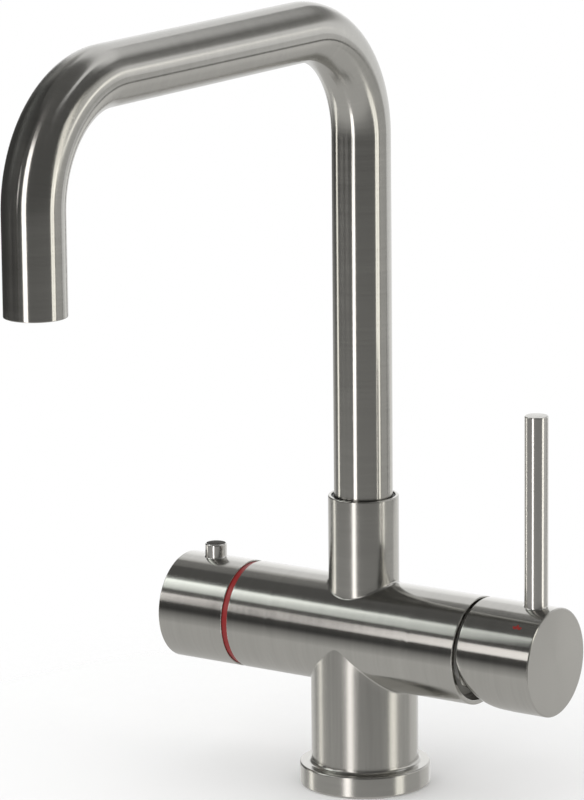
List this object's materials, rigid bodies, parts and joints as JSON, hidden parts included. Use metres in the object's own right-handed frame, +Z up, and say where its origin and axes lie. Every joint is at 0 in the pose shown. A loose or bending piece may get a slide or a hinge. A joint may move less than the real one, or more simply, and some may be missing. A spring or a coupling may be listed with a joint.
{
  "type": "boiling water tap",
  "caption": "Square-bow kitchen tap with a swivelling spout, a side mixer handle on a tilting lever and a push-and-turn boiling-water knob with a red ring.",
  "frame": {"origin": "centre of the round foot's underside, on the worktop", "axes": "+Z up along the column, +X along the barrel to the mixer handle, -Y the way the spout reaches at rest"},
  "size_m": [0.1856, 0.2678, 0.3405],
  "materials": {
    "steel_turned": "stainless steel turned round the barrel, satin",
    "steel_tube": "stainless steel tube brushed lengthwise, satin",
    "steel_pin": "fine brushed stainless steel rod",
    "steel_plain": "plain machined stainless steel",
    "spring_steel": "spring steel wire, dull",
    "brass": "machined brass",
    "copper": "drawn copper pipe",
    "rubber_black": "black EPDM rubber",
    "plastic_black": "black acetal, low friction",
    "plastic_white": "white glass-filled plastic",
    "ceramic": "polished alumina ceramic",
    "red_plastic": "red moulded plastic",
    "red_paint": "red enamel filling",
    "blue_paint": "blue enamel filling",
    "aerator_grey": "grey plastic"
  },
  "bodies": {
    "tap_body": {"body_shell": "steel_turned", "base_flange": "steel_turned", "base_gasket": "rubber_black", "foot_plate": "brass", "foot_circlip": "spring_steel", "riser_pipes": "copper", "waterway_block": "brass", "block_seal_rings": "rubber_black", "neck_glide_ring": "plastic_black", "swivel_stop_screw": "steel_plain", "cartridge_housing": "plastic_white", "cartridge_seals": "rubber_black", "fixed_disc": "ceramic", "cartridge_nut": "brass", "nut_cover": "steel_plain", "valve_housing": "brass", "valve_seal": "rubber_black", "valve_fixed_disc": "ceramic", "red_ring": "red_plastic", "lock_collar": "steel_plain"},
    "spout": {"spout_tube": "steel_tube", "spout_foot": "brass", "foot_seal_rings": "rubber_black", "boiling_tube": "steel_plain", "outlet_seal": "rubber_black", "outlet_insert": "aerator_grey", "aerator_screen": "aerator_grey", "boiling_nozzle": "steel_plain"},
    "mixer_rotor": {"cartridge_rotor": "plastic_white", "rotor_seal_ring": "rubber_black", "tilt_pin": "steel_plain"},
    "mixing_disc": {"moving_disc": "ceramic", "disc_carrier": "plastic_white"},
    "mixer_handle": {"cartridge_stem": "steel_plain", "handle_shell": "steel_turned", "lever_pin": "steel_pin", "handle_grub_screw": "steel_plain", "grub_screw_plug": "aerator_grey", "hot_mark": "red_paint", "cold_mark": "blue_paint"},
    "boiling_spindle": {"valve_spindle": "steel_plain", "spindle_disc": "ceramic", "spindle_seal_ring": "rubber_black", "spindle_screw": "steel_plain"},
    "boiling_knob": {"knob_shell": "steel_turned", "stub_pin": "steel_pin", "lock_key": "steel_plain", "knob_end_cap": "steel_turned", "knob_spring": "spring_steel"}
  },
  "joints": [
    {"name": "spout_swivel", "type": "hinge", "parent": "tap_body", "child": "spout", "pos_m": [0, 0, 0.1], "axis": [0, 0, 1], "range_deg": [-110, 110]},
    {"name": "temperature_turn", "type": "hinge", "parent": "tap_body", "child": "mixer_rotor", "pos_m": [0.064, 0, 0.0658], "axis": [1, 0, 0], "range_deg": [-45, 45]},
    {"name": "lever_tilt", "type": "hinge", "parent": "mixer_rotor", "child": "mixer_handle", "pos_m": [0.064, 0, 0.0658], "axis": [0, 1, 0], "range_deg": [0, 25]},
    {"name": "disc_slide", "type": "slide", "parent": "mixer_rotor", "child": "mixing_disc", "axis": [0, 0, 1], "range_m": [0, 0.0074]},
    {"name": "boiling_turn", "type": "hinge", "parent": "tap_body", "child": "boiling_spindle", "pos_m": [-0.06, 0, 0.0658], "axis": [1, 0, 0], "range_deg": [0, 90]},
    {"name": "knob_push", "type": "slide", "parent": "boiling_spindle", "child": "boiling_knob", "axis": [1, 0, 0], "range_m": [0, 0.0016], "stiffness_N_per_m": 2500, "springref_m": -0.003, "deforming": ["knob_spring"]}
  ],
  "couplings": [
    {"joint": "disc_slide", "follows": "lever_tilt", "m_per_rad": 0.01695}
  ]
}
